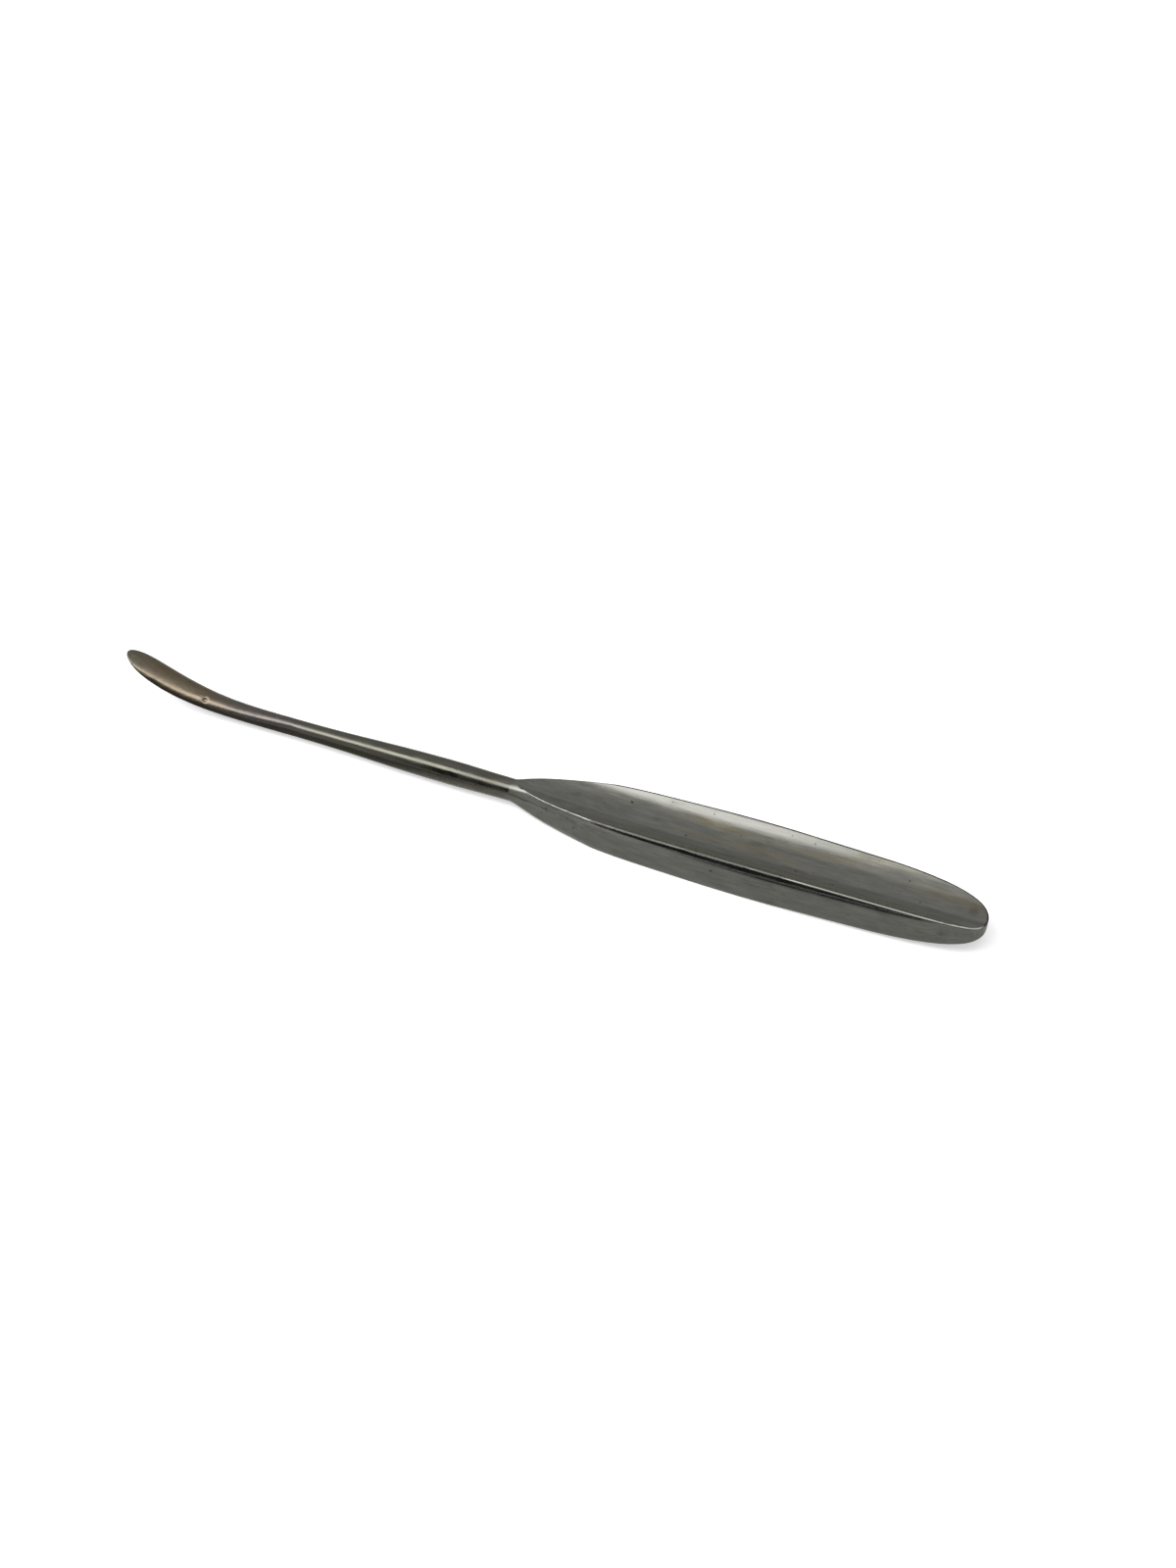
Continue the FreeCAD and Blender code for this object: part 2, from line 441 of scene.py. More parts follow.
    def metal_colour(self, tree: bpy.types.NodeTree, place: Source, streaks: Source, clouds: Source,
                     pits: Source, edges: Source) -> Source:
        """Add the colour of the metal from the tip to the butt, with its stains, and with its painted
        highlights and painted shade.

        Args:
            tree: the material's node tree.
            place: Object coordinates.
            streaks: the fine polishing lines.
            clouds: the coarser mottling.
            pits: where the metal is pitted.
            edges: where the metal is an edge.

        Returns:
            The node with the colour.
        """
        blotches = self.grained(tree, place, self.blotches)
        bands = self.grained(tree, place, self.bands)
        spot = add_node(tree, "ShaderNodeSeparateXYZ", links={0: place})
        along, across, height = spot.outputs["X"], spot.outputs["Y"], spot.outputs["Z"]
        wandering = add_node(tree, "ShaderNodeMath", {"operation": "MULTIPLY_ADD", 1: self.wander}, {
            0: blotches, 2: along})
        facing = add_node(tree, "ShaderNodeNewGeometry").outputs["Normal"]
        up = add_node(tree, "ShaderNodeSeparateXYZ", links={0: facing}).outputs["Z"]
        metal = coated(tree, self.blade_colour, [
            (overlap(tree, (self.sheen_side, across)), self.painted_sheen_colour),
            (overlap(tree, (self.tip, wandering)), self.tip_colour),
            (overlap(tree, (self.underside, up)), self.painted_underside_shade_colour),
            (overlap(tree, (self.stem, wandering)), self.stem_colour),
            (overlap(tree, (self.shank, wandering)), self.shank_colour),
            (overlap(tree, (self.handle, along)), self.handle_colour),
            (overlap(tree, (self.stained_bands, bands), (self.stained_side, across),
                     (self.stained_rear, along)), self.stain_colour),
            (overlap(tree, (self.tarnished, blotches)), self.tarnish_colour)])
        mottling = overlap(tree, (self.streak_tone, streaks), (self.cloud_tone, clouds))
        mottled = add_node(tree, "ShaderNodeHueSaturation", links={"Color": metal, "Value": mottling})
        # Painted highlight on the near upper rim, and painted shade, a dark dull line, on all other edges.
        near_upper = overlap(tree, (self.near_side, across), (self.upper_side, height))
        elsewhere = overlap(tree, (self.elsewhere, near_upper))
        # Painted light: in its own reflections the steel takes a lighter colour, which brightens its facing
        # walls.
        path = add_node(tree, "ShaderNodeLightPath")
        return coated(tree, mottled, [
            (add_node(tree, "ShaderNodeMath", TIMES, {0: edges, 1: near_upper}), self.painted_rim_highlight_colour),
            (add_node(tree, "ShaderNodeMath", TIMES, {0: edges, 1: elsewhere}), self.painted_edge_shade_colour),
            (pits, self.pit_colour),
            (path.outputs["Is Glossy Ray"], self.painted_reflection_colour)])

    def roughness(self, tree: bpy.types.NodeTree, place: Source, streaks: Source, clouds: Source,
                  pits: Source) -> Source:
        """Add the roughness: a satin polish with matt patches on the shank and the blade.

        Args:
            tree: the material's node tree.
            place: Object coordinates.
            streaks: the fine polishing lines.
            clouds: the coarser mottling.
            pits: where the metal is pitted.

        Returns:
            The node with the roughness.
        """
        along = add_node(tree, "ShaderNodeSeparateXYZ", links={0: place}).outputs["X"]
        patches = self.grained(tree, place, self.matt_patches)
        matt = add_node(tree, "ShaderNodeMath", LARGER, {
            0: overlap(tree, (self.matt_blade, along)),
            1: overlap(tree, (self.matt_shank, along), (self.matt_patch, patches))})
        polish = add_node(tree, "ShaderNodeMath", PLUS, {
            0: overlap(tree, (self.satin, clouds)), 1: overlap(tree, (self.satin_lines, streaks))})
        worn = add_node(tree, "ShaderNodeMath", PLUS, {0: polish, 1: matt})
        return add_node(tree, "ShaderNodeMath", {"operation": "MULTIPLY_ADD", 1: self.matt_pits}, {
            0: pits, 2: worn})

    def relief(self, tree: bpy.types.NodeTree, rounded: Source, streaks: Source, clouds: Source,
               pits: Source) -> Source:
        """Add shallow waves, polishing lines and sunk pits to the normals.

        Args:
            tree: the material's node tree.
            rounded: normals that are rounded off near the edges.
            streaks: the fine polishing lines.
            clouds: the coarser mottling.
            pits: where the metal is pitted.

        Returns:
            The node with the normals.
        """
        normal = rounded
        for height, strength, distance, sunk in (
                (clouds, 1.0, self.wave_height, False), (streaks, 1.0, self.line_height, False),
                (pits, self.pit_strength, self.pit_height, True)):
            normal = add_node(tree, "ShaderNodeBump", {
                "Strength": strength, "Distance": distance, "invert": sunk}, {
                "Height": height, "Normal": normal})
        return normal

    def make(self) -> bpy.types.Material:
        """Build the material's nodes.

        Returns:
            The finished material.
        """
        material, tree = new_material(self.name)
        place = add_node(tree, "ShaderNodeTexCoord").outputs["Object"]
        streaks = self.grained(tree, place, self.streaks)
        clouds = self.grained(tree, place, self.clouds)
        pits = self.pits(tree, place)
        rounded = add_node(tree, "ShaderNodeBevel", {
            "samples": self.round_samples, "Radius": self.rounding_radius})
        edges = self.painted_light_edges(tree, place, rounded)
        shader = add_node(tree, "ShaderNodeBsdfPrincipled", {
            "Metallic": self.metallic, "Specular Tint": srgb(self.edge_tint)}, {
            "Base Color": self.metal_colour(tree, place, streaks, clouds, pits, edges),
            "Roughness": self.roughness(tree, place, streaks, clouds, pits),
            "Normal": self.relief(tree, rounded, streaks, clouds, pits)})
        add_node(tree, "ShaderNodeOutputMaterial", links={"Surface": shader})
        return material


@dataclass(frozen=True)
class PaleFloor:
    """Matt white paper under the object, which shows as white and keeps its shadow."""

    # To the eye it is a clean white ground with no grain, which shows only the soft shadow.
    name: str = "matt white paper"
    colour: str = "#d9d9d9"
    glow: Fade = Fade(0.25, 1.5, 0.5, 0.85)

    def make(self) -> bpy.types.Material:
        """Build the material's nodes.

        Returns:
            The finished material.
        """
        material, tree = new_material(self.name)
        place = add_node(tree, "ShaderNodeTexCoord").outputs["Object"]
        away = add_node(tree, "ShaderNodeVectorMath", {"operation": "LENGTH"}, {0: place})
        # Far off, where the lamps are weak, the paper glows more, so that it stays white.
        strength = add_node(tree, "ShaderNodeMath", TIMES, {
            0: seen_or_reflected(tree), 1: overlap(tree, (self.glow, away))})
        paper = add_node(tree, "ShaderNodeBsdfDiffuse", {"Color": srgb(self.colour)})
        light = add_node(tree, "ShaderNodeEmission", links={"Strength": strength})
        both = add_node(tree, "ShaderNodeAddShader", links={0: paper, 1: light})
        add_node(tree, "ShaderNodeOutputMaterial", links={"Surface": both})
        return material


@dataclass(frozen=True)
class MattSheet:
    """Matt card or felt that shows only in the metal's reflections.

    With edges, it is an oval patch that thins out smoothly to nothing at those
    distances from its middle.
    """

    # To the eye it is a plain band in the metal, with a crisp edge for card and a soft one for felt.
    name: str = "matt black card"
    colour: str = "#1c1c1c"
    edges: tuple[float, float] | None = None
    thinning: Fade = Fade(0.6, 1.0)

    def make(self) -> bpy.types.Material:
        """Build the material's nodes.

        Returns:
            The finished material.
        """
        material, tree = new_material(self.name)
        surface = add_node(tree, "ShaderNodeBsdfDiffuse", {"Color": srgb(self.colour)})
        if self.edges:
            place = add_node(tree, "ShaderNodeTexCoord").outputs["Object"]
            shares = add_node(tree, "ShaderNodeVectorMath", {
                "operation": "DIVIDE", 1: (self.edges[0], self.edges[1], 1.0)}, {0: place})
            away = add_node(tree, "ShaderNodeVectorMath", {"operation": "LENGTH"}, {0: shares})
            clear = add_node(tree, "ShaderNodeBsdfTransparent")
            surface = add_node(tree, "ShaderNodeMixShader", links={
                0: overlap(tree, (self.thinning, away)), 1: surface, 2: clear})
        add_node(tree, "ShaderNodeOutputMaterial", links={"Surface": surface})
        return material


@dataclass(frozen=True)
class LitCard:
    """Pale card that is lit as evenly as a wall of the room."""

    # To the eye it is one even grey where the metal mirrors what stands behind it.
    name: str = "pale grey card, evenly lit"
    strength: float = 0.68

    def make(self) -> bpy.types.Material:
        """Build the material's nodes.

        Returns:
            The finished material.
        """
        material, tree = new_material(self.name)
        light = add_node(tree, "ShaderNodeEmission", {"Strength": self.strength})
        add_node(tree, "ShaderNodeOutputMaterial", links={"Surface": light})
        return material


@dataclass(frozen=True)
class Panel:
    """Flat panel beside the instrument, level along it and turned to face it.

    Its lower and upper edges are given as angles about the instrument, 0
    towards the viewer's side of the floor and 90 straight overhead.
    """

    name: str
    left: float
    right: float
    low_deg: float
    high_deg: float
    distance: float = 1.0

    def middle(self) -> float:
        """Place of the middle of the panel along the instrument."""
        return (self.left + self.right) / 2.0

    def middle_deg(self) -> float:
        """Angle of the middle of the panel."""
        return (self.low_deg + self.high_deg) / 2.0

    def climb(self, angle_deg: float) -> float:
        """Place of an angle on the panel, measured up from its middle."""
        return self.distance * math.tan(math.radians(angle_deg - self.middle_deg()))

    def size(self) -> tuple[float, float]:
        """Length and height of the panel."""
        return self.right - self.left, self.climb(self.high_deg) - self.climb(self.low_deg)

    def placement(self) -> Matrix:
        """Work out the place and turn of the panel.

        Returns:
            The matrix whose own Z axis points away from the object.
        """
        overhead_deg = 90.0
        turned = Matrix.Rotation(math.radians(overhead_deg - self.middle_deg()), 4, "X")
        along = Matrix.Translation(Vector((self.middle(), 0.0, 0.0)))
        return along @ turned @ Matrix.Translation(Vector((0.0, 0.0, self.distance)))


@dataclass(frozen=True)
class GlowingCloth:
    """Diffusing cloth of a window light, brightest low down and to the left.

    Its fades upwards are over angles about the instrument, and its fades
    sideways over places along it.
    """

    panel: Panel
    # To the eye it is the broad pale band along the scoop, with soft edges and a brighter heart.
    name: str = "lit white diffusing cloth"
    room: float = 1.0
    strong_low: Fade = Fade(48.5, 52.0, 0.0, 4.9)
    strong_high: Fade = Fade(63.0, 82.0, 1.0, 0.0)
    strong_side: Fade = Fade(-0.15, -0.04, 1.0, 0.3)
    soft_low: Fade = Fade(68.0, 80.0, 0.0, 0.55)
    soft_high: Fade = Fade(91.0, 102.0, 1.0, 0.0)
    soft_side: Fade = Fade(-0.24, -0.09, 0.4, 1.0)

    def upwards(self, fade: Fade) -> Fade:
        """Turn a fade over angles into one over heights on the cloth."""
        return replace(fade, start=self.panel.climb(fade.start), end=self.panel.climb(fade.end))

    def sideways(self, fade: Fade) -> Fade:
        """Turn a fade over places along the instrument into one along the cloth."""
        return replace(fade, start=fade.start - self.panel.middle(), end=fade.end - self.panel.middle())

    def make(self) -> bpy.types.Material:
        """Build the material's nodes.

        Returns:
            The finished material.
        """
        material, tree = new_material(self.name)
        place = add_node(tree, "ShaderNodeTexCoord").outputs["Object"]
        spot = add_node(tree, "ShaderNodeSeparateXYZ", links={0: place})
        across, up = spot.outputs["X"], spot.outputs["Y"]
        strong = overlap(tree, (self.upwards(self.strong_low), up), (self.upwards(self.strong_high), up),
                         (self.sideways(self.strong_side), across))
        soft = overlap(tree, (self.upwards(self.soft_low), up), (self.upwards(self.soft_high), up),
                       (self.sideways(self.soft_side), across))
        both = add_node(tree, "ShaderNodeMath", PLUS, {0: strong, 1: soft})
        total = add_node(tree, "ShaderNodeMath", PLUS | {1: self.room}, {0: both})
        light = add_node(tree, "ShaderNodeEmission", links={"Strength": total})
        add_node(tree, "ShaderNodeOutputMaterial", links={"Surface": light})
        return material


@dataclass(frozen=True)
class Mat:
    """Oval of felt with soft edges, just above the floor."""

    name: str
    felt: str
    colour: str
    middle: tuple[float, float, float]
    half_length: float
    half_width: float

    def size(self) -> tuple[float, float]:
        """Length and width of the mat."""
        return 2.0 * self.half_length, 2.0 * self.half_width

    def make(self) -> bpy.types.Material:
        """Build the felt's material."""
        return MattSheet(self.felt, self.colour, (self.half_length, self.half_width)).make()


class Skin(Enum):
    """Kinds of surface that the forging's skin is made of."""

    PLAIN = 0
    DISH = 1
    WALL = 2
    RIM = 3


@dataclass(frozen=True)
class RestingPlace:
    """How the instrument's own axes lie in the row frame."""

    tilt_deg: float = 0.611
    neck_x: float = -1.552 * MM
    neck_z: float = 3.391 * MM

    def turn(self) -> Matrix:
        """Rotation from the instrument's own axes to the row frame."""
        return Matrix.Rotation(math.radians(-self.tilt_deg), 3, "Y")

    def neck(self) -> Vector:
        """Place of the neck's middle in the row frame."""
        return Vector((self.neck_x, 0.0, self.neck_z))


@dataclass(frozen=True)
class HandleForm:
    """Sizes of the handle that its shading follows, in metres."""

    web: float = 2.3 * MM
    dish_radius: float = 9.5 * MM
    dish_bend_x: float = 41.0 * MM
    dish_runout: float = 37.0 * MM
    neck_radius: float = 2.4 * MM
    wall_bow: float = 1.5 * MM
    wall_bow_height: float = 4.6 * MM
    bow_square_share: float = 0.355

    def wall_slope(self, heights: np.ndarray) -> np.ndarray:
        """How steeply the bowed wall leans in at heights above its middle.

        Args:
            heights: heights in the instrument's own axes.

        Returns:
            Slopes, which have the sign of the heights.
        """
        # The bow is a square and a fourth power of the height, and this is its derivative.
        share = heights / self.wall_bow_height
        square = 2.0 * self.bow_square_share * share
        fourth = 4.0 * (1.0 - self.bow_square_share) * share ** 3
        return self.wall_bow / self.wall_bow_height * (square + fourth)

    def dish_axis(self, points: np.ndarray) -> np.ndarray:
        """Nearest points on the axis of the dish on the same side of the web.

        Args:
            points: places in the instrument's own axes, one per row.

        Returns:
            Places on the dish's axis, one per row.
        """
        side = np.where(points[:, 2] < 0.0, -1.0, 1.0)
        height = np.abs(points[:, 2])
        floor = self.web / 2.0
        rise = self.neck_radius - floor
        floor_arc = (self.dish_runout ** 2 + rise ** 2) / (2.0 * rise)
        axis_arc = floor_arc - self.dish_radius
        across = points[:, 0] - self.dish_bend_x
        down = height - (floor + floor_arc)
        reach = np.hypot(across, down)
        bent = across < 0.0
        axis_x = np.where(bent, self.dish_bend_x + axis_arc * across / reach, points[:, 0])
        bent_z = floor + floor_arc + axis_arc * down / reach
        axis_z = np.where(bent, bent_z, floor + self.dish_radius)
        return np.stack([axis_x, np.zeros(len(points)), side * axis_z], axis=1)


def vertex_places(mesh: bpy.types.Mesh) -> np.ndarray:
    """Read where the vertices of a mesh are.

    Args:
        mesh: the mesh.

    Returns:
        Their places, one per row.
    """
    values = np.zeros(len(mesh.vertices) * 3)
    mesh.vertices.foreach_get("co", values)
    return values.reshape(-1, 3)


def corner_vertices(mesh: bpy.types.Mesh) -> np.ndarray:
    """Read which vertex each face corner of a mesh has.

    Args:
        mesh: the mesh.

    Returns:
        The vertex numbers, in the order of the corners.
    """
    values = np.zeros(len(mesh.loops), dtype=np.int32)
    mesh.loops.foreach_get("vertex_index", values)
    return values


def unit(vectors: np.ndarray) -> np.ndarray:
    """Vectors of length one in the same directions, one per row."""
    return vectors / np.maximum(np.linalg.norm(vectors, axis=1, keepdims=True), SHORTEST)


def island_numbers(mesh: bpy.types.Mesh) -> np.ndarray:
    """Number the connected islands of a mesh.

    Args:
        mesh: the mesh.

    Returns:
        For each vertex, the number of its island.
    """
    leader = list(range(len(mesh.vertices)))

    def root(vertex: int) -> int:
        """Follow the leaders of a vertex up to the last one.

        Args:
            vertex: the number of the vertex.

        Returns:
            The number of the vertex that stands for its island.
        """
        while leader[vertex] != vertex:
            leader[vertex] = leader[leader[vertex]]
            vertex = leader[vertex]
        return vertex

    for edge in mesh.edges:
        first, second = root(edge.vertices[0]), root(edge.vertices[1])
        if first != second:
            leader[first] = second
    roots = [root(vertex) for vertex in range(len(leader))]
    numbers = {value: number for number, value in enumerate(sorted(set(roots)))}
    return np.array([numbers[value] for value in roots])


def corner_shares(points: np.ndarray, triangles: np.ndarray) -> tuple[np.ndarray, np.ndarray]:
    """Work out the face normals of a mesh, and what each corner adds at its vertex.

    Args:
        points: the places of the vertices, one per row.
        triangles: the vertex numbers of the faces, three per row.

    Returns:
        The unit normals of the faces, and for each corner the normal of its
        face times the angle of the corner.
    """
    edges = points[np.roll(triangles, -1, axis=1)] - points[triangles]
    face_normals = unit(np.cross(edges[:, 0], edges[:, 1]))
    forward = edges / np.linalg.norm(edges, axis=2)[:, :, None]
    backward = -np.roll(forward, 1, axis=1)
    angles = np.arccos(np.clip((forward * backward).sum(axis=2), -1.0, 1.0))
    shares = face_normals[:, None, :] * angles[:, :, None]
    return face_normals, shares.reshape(-1, 3)


@dataclass
class Forging:
    """The elevator itself: a merged copy of the CAD solid with exact shading normals."""

    node: str = "elevator"
    piece_name: str = "forged_elevator"
    finish: WornSteel = WornSteel()
    place: RestingPlace = RestingPlace()
    form: HandleForm = HandleForm()
    merge_distance: float = 0.002 * MM
    dish_fit: float = 0.02 * MM
    rim_fit: float = 0.35 * MM
    rim_depth: float = 0.26 * MM
    wall_length: float = 80.0 * MM
    crease_deg: float = 50.0
    group_deg: float = 32.0

    def build(self, cad_node: bpy.types.Object) -> bpy.types.Object:
        """Copy the CAD node, merge the copy, set its normals and dress it.

        Args:
            cad_node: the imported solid, which is left as it is.

        Returns:
            The merged and dressed copy.
        """
        bpy.ops.object.select_all(action="DESELECT")
        piece = cad_node.copy()
        piece.data = cad_node.data.copy()
        piece.name = self.piece_name
        piece.parent = None
        # The copy is a piece of its own, so it loses the marks of a CAD node.
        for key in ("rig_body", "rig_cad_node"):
            if key in piece:
                del piece[key]
        bpy.context.scene.collection.objects.link(piece)
        self.mark_skins(piece.data)
        self.merge(piece)
        self.set_normals(piece.data)
        piece.data.materials.clear()
        piece.data.materials.append(self.finish.make())
        return piece

    def flat(self, points: np.ndarray) -> np.ndarray:
        """Places in the row frame turned into the instrument's own axes."""
        turn = np.array(self.place.turn())
        return (points - np.array(self.place.neck())) @ turn

    def skin_kinds(self, points: np.ndarray, gap: np.ndarray, islands: np.ndarray) -> np.ndarray:
        """Tell from its size and place which kind of skin each CAD face is.

        Args:
            points: the places of the vertices in the instrument's own axes.
            gap: how far each vertex is from the surface of the dish.
            islands: for each vertex, the number of its CAD face.

        Returns:
            The value of the kind of skin for each CAD face.
        """
        kinds = np.full(islands.max() + 1, Skin.PLAIN.value, dtype=np.int32)
        for number in range(len(kinds)):
            members = islands == number
            farthest = gap[members].max()
            if np.ptp(points[members, 0]) > self.wall_length:
                kinds[number] = Skin.WALL.value
            elif farthest < self.dish_fit:
                kinds[number] = Skin.DISH.value
            elif farthest < self.rim_fit:
                kinds[number] = Skin.RIM.value
        return kinds

    def mark_skins(self, mesh: bpy.types.Mesh) -> None:
        """Store the kind of skin on each face, and how far inward each vertex is on a rim.

        Args:
            mesh: the unmerged copy, in which each CAD face is an island.
        """
        points = self.flat(vertex_places(mesh))
        from_axis = np.linalg.norm(points - self.form.dish_axis(points), axis=1)
        gap = np.abs(from_axis - self.form.dish_radius)
        islands = island_numbers(mesh)
        kinds = self.skin_kinds(points, gap, islands)
        first_corners = np.zeros(len(mesh.polygons), dtype=np.int32)
        mesh.polygons.foreach_get("loop_start", first_corners)
        values = kinds[islands[corner_vertices(mesh)[first_corners]]]
        on_rim = (values == Skin.RIM.value).astype(np.float32)
        inward = 1.0 - np.clip(gap / self.rim_depth, 0.0, 1.0).astype(np.float32)
        layers = ((SKIN, "INT", "FACE", values), (RIM_FACE, "FLOAT", "FACE", on_rim),
                  (RIM_INWARD, "FLOAT", "POINT", inward))
        for name, kind, domain, numbers in layers:
            layer = mesh.attributes.new(name, kind, domain)
            layer.data.foreach_set("value", numbers)
        log.info("skins marked: %d CAD faces", len(kinds))

    def merge(self, piece: bpy.types.Object) -> None:
        """Join the loose CAD faces of the copy into one closed skin.

        Args:
            piece: the copy.
        """
        bpy.context.view_layer.objects.active = piece
        piece.select_set(True)
        bpy.ops.object.mode_set(mode="EDIT")
        bpy.ops.mesh.select_all(action="SELECT")
        bpy.ops.mesh.remove_doubles(threshold=self.merge_distance)
        bpy.ops.object.mode_set(mode="OBJECT")
        piece.select_set(False)

    def set_normals(self, mesh: bpy.types.Mesh) -> None:
        """Give every corner the normal of the true surface.

        Args:
            mesh: the merged copy with its face attribute "skin".
        """
        faces = len(mesh.polygons)
        kinds = np.zeros(faces, dtype=np.int32)
        mesh.attributes[SKIN].data.foreach_get("value", kinds)
        corners = corner_vertices(mesh)
        points = self.flat(vertex_places(mesh))
        face_normals, shares = corner_shares(points, corners.reshape(faces, 3))
        corner_face = np.repeat(np.arange(faces), 3)

        def gathered(chosen: np.ndarray) -> np.ndarray:
            """Add up what the chosen corners give to their vertices.

            Args:
                chosen: for each corner, whether it counts.

            Returns:
                The sums, one row for each vertex.
            """
            total = np.zeros_like(points)
            np.add.at(total, corners[chosen], shares[chosen])
            return total

        vertex_normals = unit(gathered(np.ones(len(corners), dtype=bool)))
        wall_sum = gathered(kinds[corner_face] == Skin.WALL.value)
        on_wall = np.linalg.norm(wall_sum, axis=1) > 0.0
        vertex_normals[on_wall] = self.wall_normals(points[on_wall], wall_sum[on_wall])
        on_dish = np.zeros(len(points), dtype=bool)
        on_dish[corners[kinds[corner_face] == Skin.DISH.value]] = True
        vertex_normals[on_dish] = unit(self.form.dish_axis(points[on_dish]) - points[on_dish])
        corner_normals = vertex_normals[corners]
        creased = self.crease(corner_normals, corners, face_normals[corner_face], shares)
        turned = corner_normals @ np.array(self.place.turn()).T
        mesh.shade_smooth()
        mesh.normals_split_custom_set(turned.tolist())
        log.info("normals set: %d corners, %d of them at creases", len(corners), creased)

    def crease(self, normals: np.ndarray, corners: np.ndarray, facing: np.ndarray,
               shares: np.ndarray) -> int:
        """Keep creases sharp: there a corner follows only the faces that face its way.

        Args:
            normals: the normal of each corner, which is changed at creases.
            corners: the vertex number of each corner.
            facing: the normal of each corner's face.
            shares: what each corner adds at its vertex.

        Returns:
            The number of corners at creases.
        """
        agreement = (normals * facing).sum(axis=1)
        creased = np.nonzero(agreement < math.cos(math.radians(self.crease_deg)))[0]
        near = math.cos(math.radians(self.group_deg))
        around: dict[int, list[int]] = {vertex: [] for vertex in corners[creased].tolist()}
        for corner, vertex in enumerate(corners.tolist()):
            if vertex in around:
                around[vertex].append(corner)
        for corner in creased.tolist():
            group = [other for other in around[int(corners[corner])] if facing[other] @ facing[corner] > near]
            normals[corner] = unit(shares[group].sum(axis=0, keepdims=True))[0]
        return len(creased)

    def wall_normals(self, points: np.ndarray, sums: np.ndarray) -> np.ndarray:
        """Normals of the bowed wall, from its plan direction and its height.

        Args:
            points: places on the wall in the instrument's own axes.
            sums: summed face normals of the wall at those places.

        Returns:
            Unit normals, one per row.
        """
        level = unit(sums * np.array([1.0, 1.0, 0.0]))
        slope = self.form.wall_slope(points[:, 2])
        return unit(level + slope[:, None] * np.array([0.0, 0.0, 1.0]))


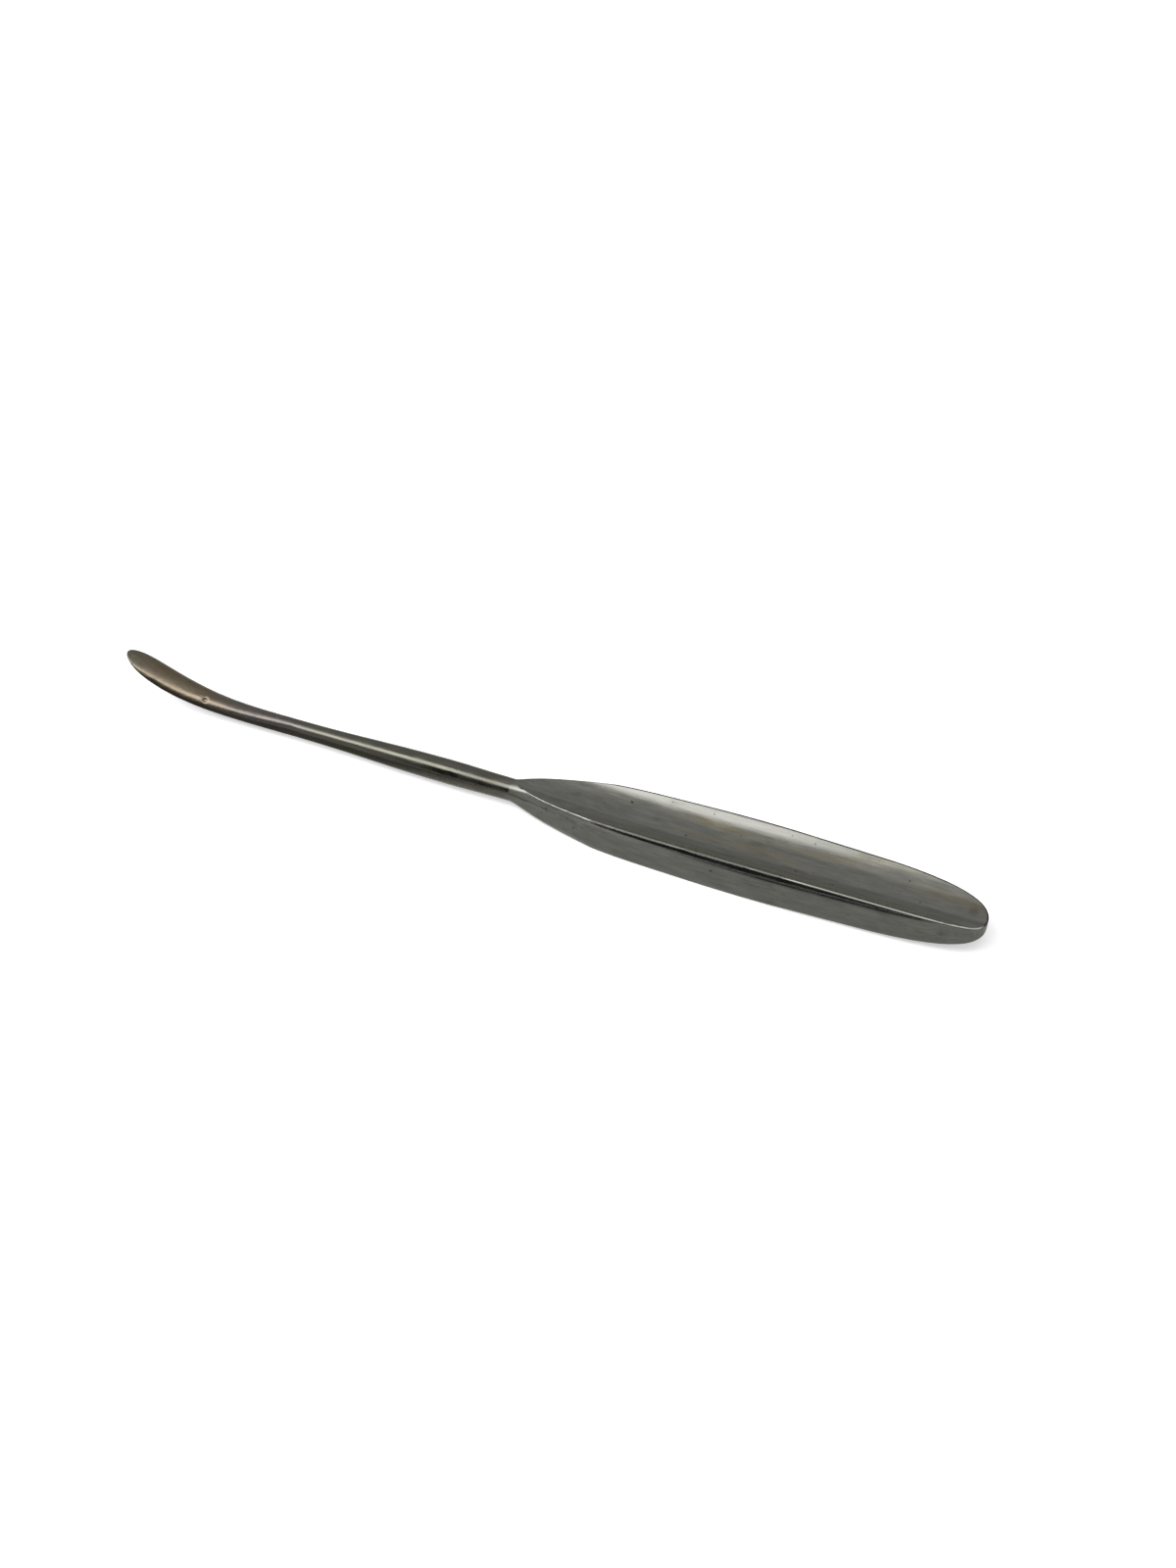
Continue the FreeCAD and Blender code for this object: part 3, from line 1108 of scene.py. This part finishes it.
@dataclass
class Studio:
    """Floor, soft lamps, cards, mats and world around the object, in metres and degrees.

    A lamp's radiance is how bright its face is, where white paper in the room is 1.
    """

    floor_name: str = "studio_floor"
    floor_size: float = 8.0
    shank_light: Panel = Panel("shank_softbox", left=-2.4, right=-0.38, low_deg=50.0, high_deg=79.0)
    shank_radiance: float = 6.2
    blade_light: Panel = Panel("blade_softbox", left=-2.4, right=-0.62, low_deg=79.5, high_deg=100.0)
    blade_radiance: float = 2.1
    window: Panel = Panel("scoop_window", left=-0.38, right=0.30, low_deg=47.0, high_deg=104.0)
    dark_card: Panel = Panel("dark_card", left=-0.44, right=0.9, low_deg=-2.0, high_deg=46.0, distance=0.8)
    grey_card: Panel = Panel("grey_card", left=-1.0, right=0.6, low_deg=146.0, high_deg=180.0, distance=1.2)
    # The mats overlap, so they lie at different heights.
    mats: tuple[Mat, ...] = (
        Mat("handle_mat", "soft black felt", "#1c1c1c",
            middle=(0.066, -0.085, 0.0002), half_length=0.068, half_width=0.068),
        Mat("shank_mat", "soft grey felt", "#94948f",
            middle=(-0.061, -0.026, 0.0003), half_length=0.064, half_width=0.042),
        Mat("wall_mat", "soft white felt", "#f0f0ee",
            middle=(0.050, -0.012, 0.00015), half_length=0.078, half_width=0.034))
    world_name: str = "white room"
    world_colour: str = "#ffffff"
    fill: float = 0.5

    def floor(self) -> None:
        """Add the floor that the object lies on."""
        bpy.ops.mesh.primitive_plane_add(size=self.floor_size)
        plane = bpy.context.object
        plane.name = self.floor_name
        plane.data.materials.append(PaleFloor().make())
        log.info("%s added", plane.name)

    def softbox(self, panel: Panel, radiance: float) -> None:
        """Add a soft lamp.

        Args:
            panel: its place and size.
            radiance: how bright its face is.
        """
        data = bpy.data.lights.new(panel.name, "AREA")
        data.shape = "RECTANGLE"
        data.size, data.size_y = panel.size()
        data.energy = radiance * math.pi * data.size * data.size_y
        lamp = bpy.data.objects.new(panel.name, data)
        bpy.context.scene.collection.objects.link(lamp)
        lamp.matrix_world = panel.placement()
        log.info("%s added", lamp.name)

    def sheet(self, name: str, placement: Matrix, size: tuple[float, float],
              material: bpy.types.Material) -> bpy.types.Object:
        """Add a flat sheet that shows only in reflections.

        Args:
            name: name of the sheet.
            placement: place and turn of its middle.
            size: its length and height.
            material: what it is made of.

        Returns:
            The sheet.
        """
        bpy.ops.mesh.primitive_plane_add(size=1.0)
        sheet = bpy.context.object
        sheet.name = name
        sheet.data.transform(Matrix.Diagonal(Vector((size[0], size[1], 1.0, 1.0))))
        sheet.matrix_world = placement
        sheet.data.materials.append(material)
        sheet.visible_camera = False
        sheet.visible_shadow = False
        log.info("%s added, %s", sheet.name, material.name)
        return sheet

    def cards(self) -> None:
        """Add the cards and the felt mats, which light nothing and only show in the metal."""
        sheets = [self.sheet(self.dark_card.name, self.dark_card.placement(), self.dark_card.size(),
                             MattSheet().make())]
        for mat in self.mats:
            lying = Matrix.Translation(Vector(mat.middle))
            sheets.append(self.sheet(mat.name, lying, mat.size(), mat.make()))
        sheets.append(self.sheet(self.grey_card.name, self.grey_card.placement(), self.grey_card.size(),
                                 LitCard().make()))
        for sheet in sheets:
            sheet.visible_diffuse = False

    def world(self) -> None:
        """Light the scene from all round, white where it is seen or reflected."""
        world = bpy.data.worlds.new(self.world_name)
        bpy.context.scene.world = world
        world.use_nodes = True
        tree = world.node_tree
        tree.nodes.clear()
        strength = add_node(tree, "ShaderNodeMapRange", {"To Min": self.fill, "To Max": 1.0}, {
            "Value": seen_or_reflected(tree)})
        room = add_node(tree, "ShaderNodeBackground", {"Color": srgb(self.world_colour)}, {
            "Strength": strength})
        add_node(tree, "ShaderNodeOutputWorld", links={"Surface": room})

    def build(self) -> None:
        """Add everything in the studio."""
        self.floor()
        self.softbox(self.shank_light, self.shank_radiance)
        self.softbox(self.blade_light, self.blade_radiance)
        cloth = GlowingCloth(self.window).make()
        self.sheet(self.window.name, self.window.placement(), self.window.size(), cloth)
        self.cards()
        self.world()
        log.info("studio built")


@dataclass(frozen=True)
class Viewpoint:
    """The camera of the photograph, fitted to the object's outline.

    Azimuth 0 is towards -Y, and the elevation is above the floor.
    """

    name: str = "photo_view"
    azimuth_deg: float = 23.13
    elevation_deg: float = 40.24
    roll_deg: float = 0.73
    aim: tuple[float, float, float] = (0.01184, 0.00677, 0.0045)
    distance: float = 0.31093
    lens_mm: float = 35.09
    sensor_mm: float = 36.0
    near_clip: float = 0.01

    def back(self) -> Vector:
        """Work out the direction from the object to the camera.

        Returns:
            A vector of length one.
        """
        azimuth, elevation = math.radians(self.azimuth_deg), math.radians(self.elevation_deg)
        flat = math.cos(elevation)
        return Vector((math.sin(azimuth) * flat, -math.cos(azimuth) * flat, math.sin(elevation)))

    def build(self) -> None:
        """Add the camera and make it the scene's camera."""
        data = bpy.data.cameras.new(self.name)
        data.lens = self.lens_mm
        data.sensor_width = self.sensor_mm
        data.clip_start = self.near_clip
        camera = bpy.data.objects.new(self.name, data)
        bpy.context.scene.collection.objects.link(camera)
        camera.location = Vector(self.aim) + self.back() * self.distance
        camera.rotation_mode = "QUATERNION"
        level = (-self.back()).to_track_quat("-Z", "Y")
        camera.rotation_quaternion = level @ Quaternion((0.0, 0.0, 1.0), math.radians(self.roll_deg))
        bpy.context.scene.camera = camera
        log.info("%s added", camera.name)


def main() -> None:
    """Dress the forging, build the studio and the camera, and log how many faces the forging has."""
    logging.basicConfig(level=logging.INFO, format="%(name)s: %(message)s")
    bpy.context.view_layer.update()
    forging = Forging()
    piece = forging.build(frame["nodes"][forging.node])
    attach(piece, "root")
    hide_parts(forging.node)
    log.info("%s built: %d faces, %s", piece.name, len(piece.data.polygons), forging.finish.name)
    Studio().build()
    Viewpoint().build()
    bpy.context.scene.view_settings.view_transform = "Standard"


if __name__ == "__main__":
    main()
